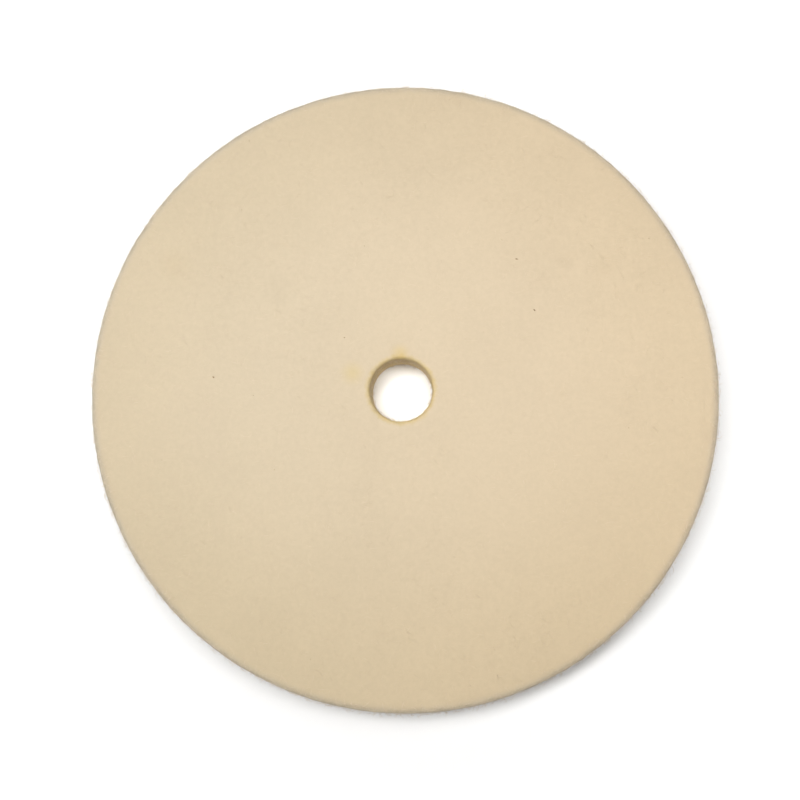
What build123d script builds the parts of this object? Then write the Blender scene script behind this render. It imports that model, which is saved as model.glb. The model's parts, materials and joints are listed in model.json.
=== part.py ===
from build123d import *
import os

# Hard felt polishing wheel, laid flat: discs of pressed wool felt bonded by cement films,
# trued on the rim and faces, with an arbor hole through the middle.
# Millimetres. Origin on the wheel's axis at its back face, +Z towards the front face.

# Driving dimensions
wheel_diameter = 127.0
wheel_thickness = 12.7
arbor_hole_diameter = 12.7
cement_thickness = 0.2
rim_rounding = 1.2          # soft outer edge of both faces
hole_rounding = 0.8         # soft edge of the arbor hole on both faces
cement_setback = 0.15       # how far the cement stops short of the rim; in the hole it is cut flush

# The layers, from the back face to the front face
ply_names = ["back_felt_ply", "back_middle_felt_ply", "front_middle_felt_ply", "front_felt_ply"]
film_names = ["back_cement_film", "middle_cement_film", "front_cement_film"]

wheel_radius = wheel_diameter / 2
hole_radius = arbor_hole_diameter / 2
ply_thickness = (wheel_thickness - len(film_names) * cement_thickness) / len(ply_names)
layer_pitch = ply_thickness + cement_thickness


def flat_ring(outer_radius, inner_radius, thickness, height):
    """A flat ring whose lower face is at the given height."""
    on_lower_face = (Align.CENTER, Align.CENTER, Align.MIN)
    disc = Cylinder(outer_radius, thickness, align=on_lower_face)
    hole = Cylinder(inner_radius, thickness, align=on_lower_face)
    return Pos(0, 0, height) * (disc - hole)


def soft_edged(ply, face_index):
    """The ply with both edges of its outside face rounded.
    face_index is 0 where that is the lowest face and -1 where it is the highest."""
    outside_face = ply.faces().filter_by(GeomType.PLANE).sort_by(Axis.Z)[face_index]
    ply = fillet(outside_face.outer_wire().edges(), rim_rounding)
    outside_face = ply.faces().filter_by(GeomType.PLANE).sort_by(Axis.Z)[face_index]
    return fillet(outside_face.inner_wires()[0].edges(), hole_rounding)


def felt_ply(layer):
    """One disc of pressed felt, the full width of the wheel. The outermost two have soft edges."""
    ply = flat_ring(wheel_radius, hole_radius, ply_thickness, layer * layer_pitch)
    if layer == 0:
        return soft_edged(ply, 0)
    if layer == len(ply_names) - 1:
        return soft_edged(ply, -1)
    return ply


def cement_film(layer):
    """The cement between two plies."""
    height = layer * layer_pitch + ply_thickness
    return flat_ring(wheel_radius - cement_setback, hole_radius, cement_thickness, height)


def main():
    os.makedirs("parts", exist_ok=True)
    for layer, name in enumerate(ply_names):
        export_step(felt_ply(layer), f"parts/{name}.step")
    for layer, name in enumerate(film_names):
        export_step(cement_film(layer), f"parts/{name}.step")


main()
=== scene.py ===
import json
import math
import random

import bpy
from mathutils import Matrix, Vector, noise


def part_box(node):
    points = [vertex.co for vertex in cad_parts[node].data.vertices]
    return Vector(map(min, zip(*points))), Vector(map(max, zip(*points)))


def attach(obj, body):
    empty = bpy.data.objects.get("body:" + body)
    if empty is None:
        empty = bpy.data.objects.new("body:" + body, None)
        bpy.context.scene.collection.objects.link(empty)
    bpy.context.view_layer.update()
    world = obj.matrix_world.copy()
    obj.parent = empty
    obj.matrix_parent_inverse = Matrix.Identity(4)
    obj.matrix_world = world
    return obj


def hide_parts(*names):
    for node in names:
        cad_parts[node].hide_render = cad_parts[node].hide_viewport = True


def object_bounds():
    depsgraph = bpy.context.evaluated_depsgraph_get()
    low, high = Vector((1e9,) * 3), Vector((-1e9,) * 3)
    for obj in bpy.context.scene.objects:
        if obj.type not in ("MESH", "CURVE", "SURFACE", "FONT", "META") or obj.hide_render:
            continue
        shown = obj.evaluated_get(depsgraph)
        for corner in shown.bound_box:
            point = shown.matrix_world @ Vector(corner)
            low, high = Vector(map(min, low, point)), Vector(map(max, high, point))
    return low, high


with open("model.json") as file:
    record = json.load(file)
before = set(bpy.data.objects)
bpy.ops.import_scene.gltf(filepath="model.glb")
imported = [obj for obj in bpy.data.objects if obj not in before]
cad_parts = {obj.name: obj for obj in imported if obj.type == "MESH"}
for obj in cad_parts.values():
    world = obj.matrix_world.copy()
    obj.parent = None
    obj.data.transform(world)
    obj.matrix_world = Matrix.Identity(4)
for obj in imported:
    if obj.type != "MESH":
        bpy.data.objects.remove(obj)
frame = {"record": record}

# A hard felt polishing wheel lying on a pale floor, with its front face up.
# Everything is in metres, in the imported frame, and mm() is for small sizes. Only the materials
# count in millimetres.

cad_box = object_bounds()


def mm(size):
    """A number of millimetres as a size in metres."""
    return size / 1000


# ======================================================================================
# Sizes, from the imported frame
# ======================================================================================

mounts = {mount["name"]: mount for mount in frame["record"]["mounts"]}
WHEEL_RADIUS = max(cad_box[1].x, cad_box[1].y)
WHEEL_THICKNESS = cad_box[1].z - cad_box[0].z
FRONT_HEIGHT = cad_box[1].z
HOLE_RADIUS = mm(mounts["arbor_hole"]["dims"]["r_mm"])
HOLE_ROUNDING = (WHEEL_THICKNESS - mm(mounts["arbor_hole"]["dims"]["length_mm"])) / 2
RIM_ROUNDING = mm(1.2)      # soft outer edge of both faces
PLY_EDGE = mm(0.11)         # how far a ply's corners are worn back beside a cement line
FACE_DEPTH = mm(0.05)       # how far the lumpy faces lie, on average, inside the flat ones
PUNCHED = 0.4               # how rough the punched hole is, where the trued rim is 1

# Columns of the felt meshes round the wheel: few at the hole, doubled twice on the way out
HOLE_COLUMNS = 256
MIDDLE_FROM = mm(13)
OUTER_FROM = mm(27)
FACE_STEP = mm(0.62)        # between rings of a flat face
WALL_STEP = mm(0.34)        # between rings of a cut wall


# ======================================================================================
# Meshes
# ======================================================================================


def new_mesh(name, points, faces):
    """A smooth piece that rides on the wheel's one body."""
    mesh = bpy.data.meshes.new(name)
    mesh.from_pydata(points, [], faces)
    mesh.update()
    mesh.shade_smooth()
    piece = bpy.data.objects.new(name, mesh)
    bpy.context.scene.collection.objects.link(piece)
    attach(piece, "root")
    return piece


def swell(place, period, seed):
    """Smooth noise from about -1 to 1 that rises and falls over the given length."""
    return noise.noise(place / period + Vector((seed, seed * 1.7, seed * 2.3)))


def around(turn):
    """The direction from the axis at an angle in radians."""
    return Vector((math.cos(turn), math.sin(turn), 0))


# Felt plies


def face_relief(place, seed):
    """How far a pressed face stands proud of flat: a slow swell and small soft lumps."""
    slow = mm(0.035) * swell(place, mm(24), seed) + mm(0.026) * swell(place, mm(6.5), seed + 5)
    return slow + mm(0.020) * swell(place, mm(2.1), seed + 9) - FACE_DEPTH


def cut_relief(place, seed):
    """How far a cut wall stands proud. The cut is rougher, in tufts that follow the felt's layers."""
    layers = Vector((place.x, place.y, place.z * 2.6))
    slow = mm(0.050) * swell(place, mm(15), seed)
    tufts = mm(0.060) * swell(layers, mm(2.4), seed + 13) + mm(0.050) * swell(layers, mm(0.9), seed + 17)
    return slow + tufts


def pressed(place):
    """How far the layers inside the wheel lie above or below flat, where the pile was pressed.
    None at the faces."""
    inside = math.sin(math.pi * min(1, max(0, place.z / WHEEL_THICKNESS)))
    flat = Vector((place.x, place.y, 0))
    return inside * (mm(0.13) * swell(flat, mm(11), 51) + mm(0.06) * swell(flat, mm(3.5), 52))


def edge_wear(place, seed):
    """How far a corner is worn back, more in some places than in others."""
    return mm(0.06) * (1 + swell(place, mm(4), seed + 23) + 0.8 * swell(place, mm(1.3), seed + 29))


def round_edge(centre, radius, start, end, steps):
    """Section points (radius, height, outward, upward) along a round corner.
    start and end are angles in degrees from outward."""
    points = []
    for step in range(steps + 1):
        turn = math.radians(start + (end - start) * step / steps)
        outward, upward = math.cos(turn), math.sin(turn)
        points.append((centre[0] + radius * outward, centre[1] + radius * upward, outward, upward))
    return points


def straight_run(start, end, longest, outward, upward):
    """Section points between two corners, no further apart than longest. The corners are left out."""
    steps = max(1, math.ceil(math.dist(start, end) / longest))
    points = []
    for step in range(1, steps):
        share = step / steps
        radius = start[0] + (end[0] - start[0]) * share
        height = start[1] + (end[1] - start[1]) * share
        points.append((radius, height, outward, upward))
    return points


def ply_section(low, high, hole_edge, rim_edge):
    """The section of a felt ply, from the hole's lower corner over the top to the rim's lower corner.
    hole_edge and rim_edge are the roundings of the two upper corners. The lower two are worn."""
    hole, rim = HOLE_RADIUS, WHEEL_RADIUS
    section = round_edge((hole + PLY_EDGE, low + PLY_EDGE), PLY_EDGE, 270, 180, 3)
    section += straight_run((hole, low + PLY_EDGE), (hole, high - hole_edge), WALL_STEP, -1, 0)
    section += round_edge((hole + hole_edge, high - hole_edge), hole_edge, 180, 90, 5)
    section += straight_run((hole + hole_edge, high), (rim - rim_edge, high), FACE_STEP, 0, 1)
    section += round_edge((rim - rim_edge, high - rim_edge), rim_edge, 90, 0, 7)
    section += straight_run((rim, high - rim_edge), (rim, low + PLY_EDGE), WALL_STEP, 1, 0)
    section += round_edge((rim - PLY_EDGE, low + PLY_EDGE), PLY_EDGE, 0, -90, 3)
    return section


def columns_at(radius):
    """How many columns a ring of this radius has."""
    if radius < MIDDLE_FROM:
        return HOLE_COLUMNS
    return 2 * HOLE_COLUMNS if radius < OUTER_FROM else 4 * HOLE_COLUMNS


def felt_ring(radius, height, outward, upward, seed):
    """One ring of a ply's surface, each point moved in or out by the felt's relief."""
    points = []
    columns = columns_at(radius)
    rough = PUNCHED if radius < 2 * HOLE_RADIUS else 1
    for column in range(columns):
        ahead = around(2 * math.pi * column / columns)
        place = ahead * radius + Vector((0, 0, height))
        cut, corner = abs(outward), 2 * abs(outward * upward)
        worn = cut * cut_relief(place, seed) - corner * edge_wear(place, seed)
        relief = (1 - cut) * face_relief(place, seed) + rough * worn
        points.append(place + (ahead * outward + Vector((0, 0, upward))) * relief)
    return points


def faces_between(first, first_count, second, second_count):
    """Faces between two rings, given each one's first point and count. One count divides the other."""
    fewer = min(first_count, second_count)
    first_share, second_share = first_count // fewer, second_count // fewer
    faces = []
    for column in range(fewer):
        near = [first + (column * first_share + k) % first_count for k in range(first_share + 1)]
        far = [second + (column * second_share + k) % second_count for k in range(second_share + 1)]
        faces.append(far + near[::-1])
    return faces


def turned(name, rings):
    """A closed ring-shaped piece from its rings of points, in order round the section."""
    points, faces, starts = [], [], []
    for ring in rings:
        starts.append(len(points))
        points += [Vector((p.x, p.y, max(0, p.z + pressed(p)))) for p in ring]
    for k, ring in enumerate(rings):
        after = (k + 1) % len(rings)
        faces += faces_between(starts[k], len(ring), starts[after], len(rings[after]))
    return new_mesh(name, points, faces)


def felt_ply(name, node, seed, outermost, face_down=False):
    """One felt ply. outermost gives it the wheel's soft edges on its upper side, and face_down turns
    the whole ply over."""
    low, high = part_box(node)[0].z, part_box(node)[1].z
    if face_down:
        low, high = WHEEL_THICKNESS - high, WHEEL_THICKNESS - low
    hole_edge = HOLE_ROUNDING if outermost else PLY_EDGE
    rim_edge = RIM_ROUNDING if outermost else PLY_EDGE
    rings = [felt_ring(*point, seed) for point in ply_section(low, high, hole_edge, rim_edge)]
    if face_down:
        rings = [[Vector((p.x, p.y, WHEEL_THICKNESS - p.z)) for p in ring] for ring in rings][::-1]
    piece = turned(name, rings)
    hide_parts(node)
    return piece


# Cement films


def cement_ring(radius, height, waver, seed):
    """A ring of a film's edge, which wavers in and out where the cement was squeezed."""
    points = []
    for column in range(4 * HOLE_COLUMNS):
        ahead = around(2 * math.pi * column / (4 * HOLE_COLUMNS))
        place = ahead * radius
        squeeze = swell(place, mm(5), seed) + 0.5 * swell(place, mm(1.6), seed + 3)
        points.append(ahead * (radius + waver * squeeze) + Vector((0, 0, height)))
    return points


def cement_film(name, node, seed):
    """A film of dried cement, its edges a little uneven and round."""
    low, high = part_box(node)
    middle, half = (low.z + high.z) / 2, (high.z - low.z) / 2
    outer, inner = max(high.x, high.y), HOLE_RADIUS
    waver, bulge = mm(0.09), mm(0.05)
    rings = [
        cement_ring(inner, middle - half, 0, seed),
        cement_ring(inner, middle + half, 0, seed),
        cement_ring(outer, middle + half, waver, seed),
        cement_ring(outer + bulge, middle, waver, seed),
        cement_ring(outer, middle - half, waver, seed),
    ]
    piece = turned(name, rings)
    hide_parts(node)
    return piece


# Loose fibres


def fibre_tube(path, thickness):
    """Points and faces of one thin fibre, three-sided, pointed at both ends."""
    sides = 3
    points, faces = [path[0]], []
    for k in range(1, len(path) - 1):
        along = (path[k + 1] - path[k - 1]).normalized()
        across = along.orthogonal().normalized()
        other = along.cross(across)
        for side in range(sides):
            turn = 2 * math.pi * side / sides
            points.append(path[k] + (across * math.cos(turn) + other * math.sin(turn)) * thickness / 2)
    points.append(path[-1])
    last = len(points) - 1
    for side in range(sides):
        after = (side + 1) % sides
        faces.append((0, 1 + after, 1 + side))
        faces.append((last, last - sides + side, last - sides + after))
        for k in range(len(path) - 3):
            start = 1 + k * sides
            faces.append((start + side, start + after, start + sides + after, start + sides + side))
    return points, faces


def curled_path(root, outward, length, lift, rng):
    """A short curled line that leaves the felt at root and mostly lies along its surface."""
    across = outward.orthogonal().normalized()
    across.rotate(Matrix.Rotation(rng.uniform(0, 2 * math.pi), 3, outward))
    curl = rng.uniform(-1.6, 1.6)
    side = outward.cross(across)
    steps = 5
    path = []
    for step in range(steps + 1):
        share = step / steps
        along = across * math.cos(curl * share) + side * math.sin(curl * share)
        height = lift * math.sin(math.pi * min(1.0, share * 0.85 + 0.05)) - mm(0.02)
        path.append(root + along * length * share + outward * height)
    return path


def fibres(name, seed, roots, length, lift, thickness):
    """A piece made of loose fibres, one for each (root, outward direction) in roots."""
    rng = random.Random(seed)
    points, faces = [], []
    for root, outward in roots:
        size = rng.uniform(0.4, 1.0)
        path = curled_path(root, outward, length * size, lift * rng.uniform(0.5, 1.5) ** 2, rng)
        path = [Vector((p.x, p.y, max(thickness / 2, p.z))) for p in path]
        tube, sides = fibre_tube(path, thickness * rng.uniform(0.7, 1.1))
        faces += [tuple(len(points) + k for k in face) for face in sides]
        points += tube
    piece = new_mesh(name, points, faces)
    return piece


def wall_roots(count, seed, radius, outward_sign, margin):
    """Places on a cut wall, all over its height but for a margin at each face."""
    rng = random.Random(seed)
    roots = []
    for _ in range(count):
        ahead = around(rng.uniform(0, 2 * math.pi))
        height = rng.uniform(margin, WHEEL_THICKNESS - margin)
        roots.append((ahead * radius + Vector((0, 0, height)), ahead * outward_sign))
    return roots


def edge_roots(count, seed, height, upward):
    """Places on the soft outer edge of a face, where the felt is rubbed up."""
    rng = random.Random(seed)
    roots = []
    for _ in range(count):
        ahead = around(rng.uniform(0, 2 * math.pi))
        tilt = rng.uniform(0.1, 0.5) * math.pi
        outward = ahead * math.cos(tilt) + Vector((0, 0, upward * math.sin(tilt)))
        centre = ahead * (WHEEL_RADIUS - RIM_ROUNDING) + Vector((0, 0, height - upward * RIM_ROUNDING))
        roots.append((centre + outward * RIM_ROUNDING, outward))
    return roots


def face_roots(count, seed, height, upward):
    """Places spread evenly over a flat face."""
    rng = random.Random(seed)
    inner, outer = HOLE_RADIUS + 2 * HOLE_ROUNDING, WHEEL_RADIUS - RIM_ROUNDING
    roots = []
    for _ in range(count):
        radius = math.sqrt(rng.uniform(inner**2, outer**2))
        place = around(rng.uniform(0, 2 * math.pi)) * radius + Vector((0, 0, height - upward * FACE_DEPTH))
        roots.append((place, Vector((0, 0, upward))))
    return roots


# Vegetable specks left in the wool


def speck(place, outward, size, rng):
    """Points and faces of one small flat scrap, half sunk in the felt."""
    across = outward.orthogonal().normalized()
    across.rotate(Matrix.Rotation(rng.uniform(0, 2 * math.pi), 3, outward))
    side = outward.cross(across)
    corners = 7
    points = [place + outward * mm(0.05), place - outward * mm(0.12)]
    for corner in range(corners):
        turn = 2 * math.pi * corner / corners
        reach = size / 2 * rng.uniform(0.7, 1.2)
        points.append(place + across * math.cos(turn) * reach + side * math.sin(turn) * reach * 0.6)
    faces = []
    for corner in range(corners):
        here, after = 2 + corner, 2 + (corner + 1) % corners
        faces += [(0, here, after), (1, after, here)]
    return points, faces


def specks(name, seed, places):
    """A piece made of specks, one for each (place, outward direction, size) in places."""
    rng = random.Random(seed)
    points, faces = [], []
    for place, outward, size in places:
        scrap, sides = speck(place, outward, size, rng)
        faces += [tuple(len(points) + k for k in face) for face in sides]
        points += scrap
    piece = new_mesh(name, points, faces)
    return piece


# ======================================================================================
# Materials
# ======================================================================================


class Nodes:
    """A small helper to write a material's node tree as expressions. Inputs may be sockets or values."""

    def __init__(self, name):
        self.material = bpy.data.materials.new(name)
        self.material.use_nodes = True
        self.tree = self.material.node_tree
        self.shader = self.tree.nodes["Principled BSDF"]

    def feed(self, socket, value):
        """Links a socket to the input, or sets the input to a value."""
        if isinstance(value, bpy.types.NodeSocket):
            self.tree.links.new(value, socket)
        elif socket.type == "RGBA" and len(value) == 3:
            socket.default_value = (*value, 1)
        else:
            socket.default_value = value

    def make(self, kind, settings, inputs, output=0):
        """Adds a node with these settings and inputs, and returns one of its outputs."""
        node = self.tree.nodes.new(kind)
        for key, value in settings.items():
            setattr(node, key, value)
        for key, value in inputs.items():
            self.feed(node.inputs[key], value)
        return node.outputs[output]

    def millimetres(self):
        """The place in the wheel's own frame, in millimetres."""
        place = self.make("ShaderNodeTexCoord", {}, {}, "Object")
        return self.vector("SCALE", place, Scale=1000.0)

    def coordinate(self, place, axis):
        """One coordinate of a place: axis is "X", "Y" or "Z"."""
        return self.make("ShaderNodeSeparateXYZ", {}, {0: place}, axis)

    def vector(self, operation, first, second=None, **named):
        """Works on vectors. The operations that give a number have it on their second output."""
        inputs = {0: first, **named}
        if second is not None:
            inputs[1] = second
        output = 1 if operation in ("LENGTH", "DISTANCE", "DOT_PRODUCT") else 0
        return self.make("ShaderNodeVectorMath", {"operation": operation}, inputs, output)

    def math(self, operation, first, second=0.5, third=None):
        inputs = {0: first, 1: second}
        if third is not None:
            inputs[2] = third
        return self.make("ShaderNodeMath", {"operation": operation}, inputs)

    def noise(self, place, scale, detail=2.0, roughness=0.5, output=0):
        """Smooth noise, scale swells to the millimetre. Output 0 is a number and 1 a colour."""
        inputs = {"Vector": place, "Scale": scale, "Detail": detail, "Roughness": roughness}
        return self.make("ShaderNodeTexNoise", {}, inputs, output)

    def ramp(self, value, low, high, to_low=0.0, to_high=1.0):
        """Goes smoothly from to_low, where the value is low, to to_high, where it is high."""
        settings = {"interpolation_type": "SMOOTHSTEP"}
        inputs = {"Value": value, "From Min": low, "From Max": high, "To Min": to_low, "To Max": to_high}
        return self.make("ShaderNodeMapRange", settings, inputs)

    def blend(self, share, first, second, mode="MIX"):
        """Two colours mixed. The node's inputs 0, 6 and 7 are the share and the two colours."""
        node = self.tree.nodes.new("ShaderNodeMix")
        node.data_type, node.blend_type, node.clamp_result = "RGBA", mode, False
        for key, value in ((0, share), (6, first), (7, second)):
            self.feed(node.inputs[key], value)
        return node.outputs[2]

    def tint(self, colour, share, factor):
        """The colour multiplied by factor, as far as share says."""
        return self.blend(share, colour, factor, "MULTIPLY")

    def bump(self, height, distance, strength):
        """A normal tilted as if the surface stood height times distance proud."""
        inputs = {"Height": height, "Distance": distance, "Strength": strength}
        return self.make("ShaderNodeBump", {}, inputs)

    def finish(self, **inputs):
        """Feeds the shader's inputs, their names written with _ for a space. Returns the material."""
        for key, value in inputs.items():
            self.feed(self.shader.inputs[key.replace("_", " ")], value)
        return self.material


# Felt

WOOL = (0.536, 0.449, 0.322)         # natural cream wool

# How each of these multiplies the wool's colour
ROSY = (1.02, 0.985, 0.955)          # towards +X
WARM = (1.0, 0.99, 0.955)            # towards -Y
TAN = (0.995, 0.985, 0.955)          # towards the rim
GREY_EDGE_SHADE = (0.86, 0.90, 0.99)          # painted shade on the outer edge, darker and greyer
HOLE_WARM_SHADE = (0.985, 0.915, 0.63)    # painted shade in the cut hole and on its rounding, yellower and darker
HOLE_DEPTH_SHADE = (0.86, 0.85, 0.85)       # painted shade deep in the hole

# Faint stains on the front face, and a painted shade at the top rim of the hole: x, y and radius in mm,
# how each multiplies the wool's colour
FACE_STAINS_AND_HOLE_SHADE = [
    (-9.8, 3.4, 3.0, (1.00, 0.975, 0.82)),
    # painted shade: the top rim of the hole yellower, where its rounding turns from the light
    (-0.2, 7.4, 2.6, (1.00, 0.95, 0.74)),
    (-25.0, 20.5, 5.0, (0.965, 0.965, 0.96)),
    (33.5, 26.0, 2.4, (0.955, 0.95, 0.945)),
    (41.0, 25.0, 3.6, (0.97, 0.965, 0.955)),
    (-47.0, 26.0, 5.0, (0.975, 0.965, 0.945)),
]


def mm_of(size):
    """A size in metres as a number of millimetres, for the materials' coordinates."""
    return size * 1000


def distance_from_axis(nodes, place):
    """How far a place is from the wheel's axis."""
    across, along = nodes.coordinate(place, "X"), nodes.coordinate(place, "Y")
    flat = nodes.make("ShaderNodeCombineXYZ", {}, {"X": across, "Y": along})
    return nodes.vector("LENGTH", flat)


def strands(nodes, place, heading):
    """Ridges along fibres, some 3 mm long and 0.2 mm wide, that run at a heading in degrees."""
    settings = {"vector_type": "TEXTURE"}
    inputs = {"Vector": place, "Rotation": (0, 0, math.radians(heading)), "Scale": (3.2, 0.20, 0.20)}
    stretched = nodes.make("ShaderNodeMapping", settings, inputs)
    value = nodes.noise(stretched, 1.0, detail=1.0)
    off_middle = nodes.math("ABSOLUTE", nodes.math("SUBTRACT", value, 0.5))
    return nodes.math("SUBTRACT", 1.0, nodes.math("MULTIPLY", off_middle, 6.0))


def felt_fibres(nodes, place):
    """Matted fibres: strands at several headings, bent by slow noise, the highest one on top."""
    bend = nodes.noise(place, 0.45, detail=2.0, output=1)
    bent = nodes.vector("ADD", place, nodes.vector("SCALE", bend, Scale=2.6))
    matted = strands(nodes, bent, 12)
    for heading in (58, 101, 149):
        matted = nodes.math("MAXIMUM", matted, strands(nodes, bent, heading))
    return matted


def felt_colour(nodes, place, matted, nap, tufts, layers, at_cut):
    """The wool's colour: light and dark in the mat, more of it on the cut walls, slow clouds,
    a rosier side, painted shade on the outer edge, in the hole and at the hole's top rim, and the stains."""
    clouds = nodes.noise(place, 0.055, detail=1.0)
    shade = nodes.math("MULTIPLY_ADD", matted, 0.028, 0.972)
    shade = nodes.math("MULTIPLY", shade, nodes.ramp(tufts, 0.25, 0.75, 0.98, 1.02))
    shade = nodes.math("MULTIPLY", shade, nodes.ramp(clouds, 0.3, 0.7, 0.988, 1.01))
    shade = nodes.math("MULTIPLY", shade, nodes.ramp(nap, 0.2, 0.8, 0.98, 1.015))
    cut_nap = nodes.ramp(nap, 0.25, 0.7, 0.86, 1.07)
    cut_layers = nodes.ramp(layers, 0.3, 0.68, 0.88, 1.07)
    rough_cut = nodes.math("SUBTRACT", nodes.math("MULTIPLY", cut_nap, cut_layers), 1.0)
    shade = nodes.math("MULTIPLY", shade, nodes.math("MULTIPLY_ADD", rough_cut, at_cut, 1.0))
    colour = nodes.vector("SCALE", WOOL, Scale=shade)

    from_axis = distance_from_axis(nodes, place)
    upward = nodes.coordinate(place, "Z")
    colour = nodes.tint(colour, nodes.ramp(nodes.coordinate(place, "X"), -60.0, 62.0), ROSY)
    colour = nodes.tint(colour, nodes.ramp(nodes.coordinate(place, "Y"), 5.0, -60.0), WARM)
    colour = nodes.tint(colour, nodes.ramp(from_axis, 25.0, 62.0), TAN)

    ragged = nodes.math("MULTIPLY_ADD", tufts, 1.2, from_axis)
    at_edge = nodes.ramp(ragged, mm_of(WHEEL_RADIUS) - 1.4, mm_of(WHEEL_RADIUS) + 0.6)
    from_middle = nodes.math("ABSOLUTE", nodes.math("SUBTRACT", upward, mm_of(WHEEL_THICKNESS) / 2))
    near_face = nodes.ramp(from_middle, 3.5, 5.7, 0.6, 1.0)
    # painted shade: the outer edge darker and greyer, most on the faces' roundings
    colour = nodes.tint(colour, nodes.math("MULTIPLY", at_edge, near_face), GREY_EDGE_SHADE)
    at_hole = nodes.ramp(ragged, mm_of(HOLE_RADIUS) + 1.9, mm_of(HOLE_RADIUS) + 0.5)
    # painted shade: the hole's rounding and wall yellower and darker, as in shade lit by bounce from the
    # felt
    colour = nodes.tint(colour, at_hole, HOLE_WARM_SHADE)
    # painted shade: the hole's wall darker from just below the front face downwards
    deep = nodes.ramp(upward, mm_of(FRONT_HEIGHT) - 1.2, mm_of(FRONT_HEIGHT) - 8.0)
    colour = nodes.tint(colour, nodes.math("MULTIPLY", at_hole, deep), HOLE_DEPTH_SHADE)
    # faint stains, and the painted shade at the top rim of the hole
    for x, y, radius, factor in FACE_STAINS_AND_HOLE_SHADE:
        away = nodes.vector("DISTANCE", place, (x, y, mm_of(FRONT_HEIGHT)))
        ragged_away = nodes.math("MULTIPLY_ADD", clouds, radius * 0.5, away)
        colour = nodes.tint(colour, nodes.ramp(ragged_away, radius * 1.25, radius * 0.25), factor)
    return colour


def felt_material():
    """Hard pressed wool felt: a fine mat on the faces, with the cut ends of its layers on the walls."""
    nodes = Nodes("pressed_wool_felt")
    place = nodes.millimetres()
    matted = felt_fibres(nodes, place)
    nap = nodes.noise(place, 5.0, detail=3.0, roughness=0.65)
    tufts = nodes.noise(place, 1.15, detail=2.0)
    layers = nodes.noise(nodes.vector("MULTIPLY", place, (0.5, 0.5, 3.2)), 1.0, detail=2.0)
    from_axis = distance_from_axis(nodes, place)
    at_rim = nodes.ramp(from_axis, mm_of(WHEEL_RADIUS) - 1.4, mm_of(WHEEL_RADIUS) - 0.3)
    in_hole = nodes.ramp(from_axis, mm_of(HOLE_RADIUS) + 0.8, mm_of(HOLE_RADIUS) + 0.1)
    at_cut = nodes.math("ADD", at_rim, in_hole)

    height = nodes.math("ADD", nodes.math("MULTIPLY", matted, 0.6), nodes.math("MULTIPLY", nap, 0.7))
    height = nodes.math("MULTIPLY_ADD", tufts, 0.8, height)
    height = nodes.math("MULTIPLY_ADD", nodes.math("MULTIPLY", layers, 2.2), at_cut, height)
    strength = nodes.math("MULTIPLY_ADD", at_cut, 0.35, 0.5)
    nodes.shader.inputs["Specular IOR Level"].default_value = 0.25
    nodes.shader.inputs["Sheen Weight"].default_value = 0.08
    nodes.shader.inputs["Sheen Roughness"].default_value = 0.5
    nodes.shader.inputs["Sheen Tint"].default_value = (1.0, 0.93, 0.8, 1)
    return nodes.finish(Base_Color=felt_colour(nodes, place, matted, nap, tufts, layers, at_cut),
                        Roughness=nodes.ramp(matted, 0.0, 1.0, 0.97, 0.86),
                        Normal=nodes.bump(height, mm(0.05), strength))


def fibre_material():
    """Single wool fibres, paler and a little shinier than the mat."""
    nodes = Nodes("wool_fibre")
    tone = nodes.noise(nodes.millimetres(), 0.9, detail=1.0)
    colour = nodes.blend(nodes.ramp(tone, 0.3, 0.7), (0.57, 0.475, 0.335), (0.68, 0.575, 0.42))
    nodes.shader.inputs["Specular IOR Level"].default_value = 0.35
    return nodes.finish(Base_Color=colour, Roughness=nodes.ramp(tone, 0.2, 0.8, 0.6, 0.8))


def speck_material():
    """Scraps of straw and burr left in the wool."""
    nodes = Nodes("vegetable_speck")
    tone = nodes.noise(nodes.millimetres(), 0.35, detail=1.0)
    colour = nodes.blend(nodes.ramp(tone, 0.35, 0.65), (0.17, 0.10, 0.045), (0.34, 0.23, 0.12))
    return nodes.finish(Base_Color=colour, Roughness=nodes.ramp(tone, 0.2, 0.8, 0.7, 0.9))


def cement_material():
    """Dried amber cement, a little glossy, with felt dust stuck in it."""
    nodes = Nodes("felt_cement")
    place = nodes.millimetres()
    dust = nodes.noise(place, 0.9, detail=4.0)
    dark = nodes.noise(place, 0.12, detail=1.0)
    colour = nodes.blend(nodes.ramp(dark, 0.35, 0.65), (0.34, 0.225, 0.10), (0.46, 0.33, 0.17))
    colour = nodes.blend(nodes.ramp(dust, 0.42, 0.66), colour, (0.55, 0.44, 0.29))
    normal = nodes.bump(dust, mm(0.05), 0.7)
    return nodes.finish(Base_Color=colour, Roughness=nodes.ramp(dust, 0.3, 0.7, 0.38, 0.7), Normal=normal)


# ======================================================================================
# The wheel
# ======================================================================================

felt = felt_material()
cement = cement_material()
wool_fibre = fibre_material()
vegetable_speck = speck_material()

# Piece, CAD node, seed, whether it is one of the outermost two, whether it is turned over
PLIES = [
    ("front_felt", "front_felt_ply", 1, True, False),
    ("front_middle_felt", "front_middle_felt_ply", 2, False, False),
    ("back_middle_felt", "back_middle_felt_ply", 3, False, False),
    ("back_felt", "back_felt_ply", 4, True, True),
]
for name, node, seed, outermost, face_down in PLIES:
    felt_ply(name, node, seed, outermost, face_down).data.materials.append(felt)

for seed, side in enumerate(("front", "middle", "back"), start=21):
    cement_film(f"{side}_cement", f"{side}_cement_film", seed).data.materials.append(cement)

FIBRE = mm(0.045)

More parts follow.
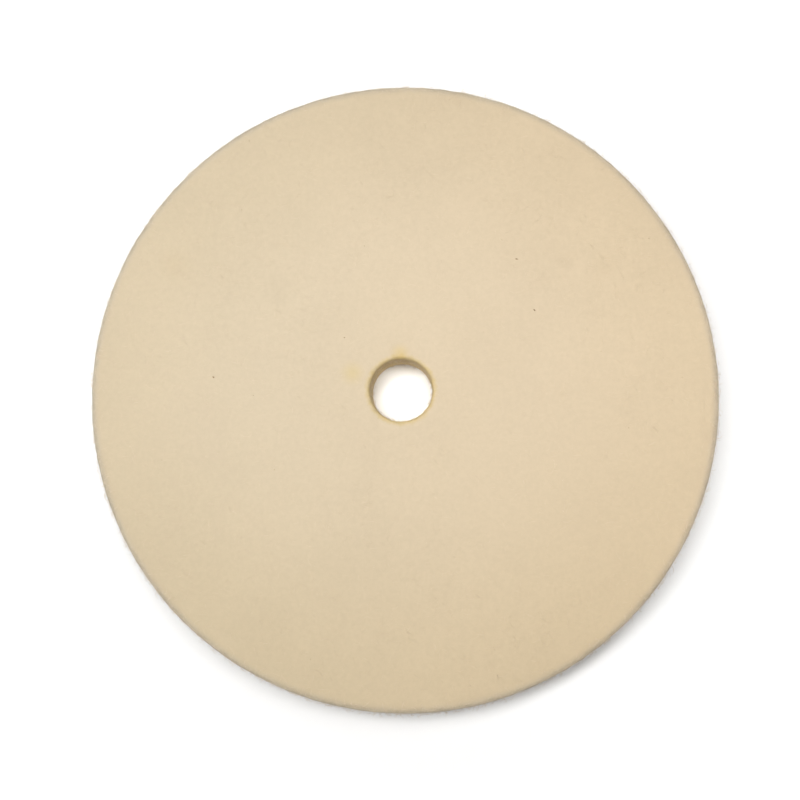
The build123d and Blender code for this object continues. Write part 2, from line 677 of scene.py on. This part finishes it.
# Name, seed, roots, longest length, lift off the felt, and thickness
LOOSE_FIBRES = [
    ("rim_fibres", 31, wall_roots(5200, 32, WHEEL_RADIUS, 1, RIM_ROUNDING), mm(1.6), mm(0.30), FIBRE),
    ("hole_fibres", 33, wall_roots(420, 34, HOLE_RADIUS, -1, HOLE_ROUNDING), mm(1.1), mm(0.22), FIBRE),
    ("front_edge_fibres", 35, edge_roots(1400, 36, FRONT_HEIGHT, 1), mm(2.0), mm(0.20), FIBRE),
    ("face_fibres", 40, face_roots(3000, 37, FRONT_HEIGHT, 1), mm(2.6), mm(0.07), 0.7 * FIBRE),
    ("back_edge_fibres", 38, edge_roots(1100, 39, 0, -1), mm(1.5), mm(0.10), FIBRE),
]
for name, seed, roots, length, lift, thickness in LOOSE_FIBRES:
    fibres(name, seed, roots, length, lift, thickness).data.materials.append(wool_fibre)

# The four specks that stand out on the front face: x, y and size in mm
PLAIN_SPECKS = [(-38.2, 2.7, 0.60), (-11.5, 10.7, 0.48), (23.6, 26.6, 0.62), (27.0, 16.1, 0.48)]


def all_specks():
    """The four plain specks, and small ones at random on both faces and the rim."""
    places = []
    for x, y, size in PLAIN_SPECKS:
        places.append((Vector((mm(x), mm(y), FRONT_HEIGHT - FACE_DEPTH)), Vector((0, 0, 1)), mm(size)))
    rng = random.Random(41)
    small = face_roots(26, 42, FRONT_HEIGHT, 1) + face_roots(30, 43, 0, -1)
    small += wall_roots(24, 44, WHEEL_RADIUS, 1, RIM_ROUNDING)
    for place, outward in small:
        places.append((place, outward, mm(rng.uniform(0.12, 0.24))))
    return places


specks("vegetable_specks", 45, all_specks()).data.materials.append(vegetable_speck)

# ======================================================================================
# Floor, light and camera
# ======================================================================================


REACH = 6.0    # how far out the floor and the backdrop's walls are, and how high the walls are


def make_floor():
    """A pale floor. It glows like a light table in the hole, and again far from the wheel, where the
    lamps fall off. Each ramp runs over distances from the axis in mm."""
    corners = [(-REACH, -REACH, 0), (REACH, -REACH, 0), (REACH, REACH, 0), (-REACH, REACH, 0)]
    mesh = bpy.data.meshes.new("floor")
    mesh.from_pydata(corners, [], [(0, 1, 2, 3)])
    floor = bpy.data.objects.new("floor", mesh)
    floor.location.z = cad_box[0].z - mm(0.15)
    bpy.context.scene.collection.objects.link(floor)
    nodes = Nodes("pale_floor")
    away = nodes.vector("LENGTH", nodes.millimetres())
    in_hole = nodes.ramp(away, mm_of(HOLE_RADIUS) + 1.05, 1.0, 0.0, 0.55)
    mid_hole = nodes.ramp(away, 3.7, 2.4, 0.0, 0.6)
    far_away = nodes.ramp(away, 70.0, 140.0)
    glow = nodes.math("ADD", nodes.math("ADD", in_hole, mid_hole), far_away)
    mesh.materials.append(nodes.finish(Base_Color=(0.87, 0.87, 0.87), Roughness=0.8,
                                       Emission_Color=(1.0, 1.0, 1.0), Emission_Strength=glow))


def make_backdrop():
    """White walls and a white ceiling, far away. Only the camera sees them, so they light nothing."""
    sides = ((-REACH, -REACH), (REACH, -REACH), (REACH, REACH), (-REACH, REACH))
    corners = [(x, y, z) for z in (0, REACH) for x, y in sides]
    walls = [(k, (k + 1) % 4, 4 + (k + 1) % 4, 4 + k) for k in range(4)]
    mesh = bpy.data.meshes.new("white_backdrop")
    mesh.from_pydata(corners, [], walls + [(4, 5, 6, 7)])
    backdrop = bpy.data.objects.new("white_backdrop", mesh)
    bpy.context.scene.collection.objects.link(backdrop)
    for kind in ("diffuse", "glossy", "transmission", "volume_scatter", "shadow"):
        setattr(backdrop, f"visible_{kind}", False)
    nodes = Nodes("white_backdrop")
    mesh.materials.append(nodes.finish(Base_Color=(0, 0, 0), Emission_Color=(1.0, 1.0, 1.0),
                                       Emission_Strength=1.0))


def make_world(horizon, zenith, wall_top, ceiling_from):
    """A white studio wall all round, under a dark ceiling. horizon and zenith are their strengths.
    The wall fades into the ceiling between two heights, given as sines of the angle above level."""
    world = bpy.data.worlds.new("studio")
    bpy.context.scene.world = world
    world.use_nodes = True
    tree = world.node_tree
    background = tree.nodes["Background"]
    background.inputs["Color"].default_value = (1, 1, 1, 1)
    direction = tree.nodes.new("ShaderNodeTexCoord")
    parts = tree.nodes.new("ShaderNodeSeparateXYZ")
    fade = tree.nodes.new("ShaderNodeMapRange")
    fade.interpolation_type = "SMOOTHSTEP"
    limits = {"From Min": wall_top, "From Max": ceiling_from, "To Min": horizon, "To Max": zenith}
    for key, value in limits.items():
        fade.inputs[key].default_value = value
    tree.links.new(direction.outputs["Generated"], parts.inputs[0])
    tree.links.new(parts.outputs["Z"], fade.inputs["Value"])
    tree.links.new(fade.outputs["Result"], background.inputs["Strength"])


def softbox(name, place, aim, size, power, spread, width_along=(1, 0, 0)):
    """A rectangular area light, its width as near as can be along the given direction.
    spread is the angle of its beam in degrees."""
    light = bpy.data.lights.new(name, "AREA")
    light.shape = "RECTANGLE"
    light.size, light.size_y = size
    light.energy = power
    light.spread = math.radians(spread)
    lamp = bpy.data.objects.new(name, light)
    lamp.location = place
    lamp.visible_camera = False
    back = (Vector(place) - Vector(aim)).normalized()
    upward = back.cross(Vector(width_along)).normalized()
    lamp.rotation_mode = "QUATERNION"
    lamp.rotation_quaternion = Matrix((upward.cross(back), upward, back)).transposed().to_quaternion()
    bpy.context.scene.collection.objects.link(lamp)


def make_camera():
    """Looks down on the front face from above a point a little to the right of and below its centre."""
    face_centre = Vector((0, 0, FRONT_HEIGHT))
    aim = face_centre + Vector((mm(-3.4), mm(7.7), 0))
    data = bpy.data.cameras.new("camera")
    data.lens = 46.37
    data.shift_x = 0.0198    # both shifts are shares of the frame's width, and only place the wheel in it
    data.shift_y = -0.06
    data.clip_start = mm(5)
    camera = bpy.data.objects.new("camera", data)
    camera.location = face_centre + Vector((mm(6.0), mm(-15.3), mm(207.3)))
    ahead = (aim - camera.location).normalized()
    right = ahead.cross(Vector((0, 1, 0))).normalized()
    camera.rotation_mode = "QUATERNION"
    camera.rotation_quaternion = Matrix((right, right.cross(ahead), -ahead)).transposed().to_quaternion()
    bpy.context.scene.collection.objects.link(camera)
    bpy.context.scene.camera = camera


make_floor()
make_backdrop()
make_world(horizon=1.0, zenith=0.04, wall_top=0.1, ceiling_from=0.42)
softbox("overhead_softbox", place=(0.012, 0.010, 0.263), aim=(0.012, 0.010, 0),
        size=(0.30, 0.05), power=0.170, spread=90)
softbox("key_softbox", place=(-0.185, 0.156, 0.80), aim=(0, 0, 0),
        size=(1.06, 0.13), power=5.45, spread=180, width_along=(0.194, 0.126, 0))
softbox("hole_light", place=(0, 0, 0), aim=(0, 0, FRONT_HEIGHT),
        size=(mm(5.4), mm(5.4)), power=3.5e-4, spread=180)
make_camera()
bpy.context.scene.view_settings.view_transform = "Standard"

bpy.context.view_layer.update()
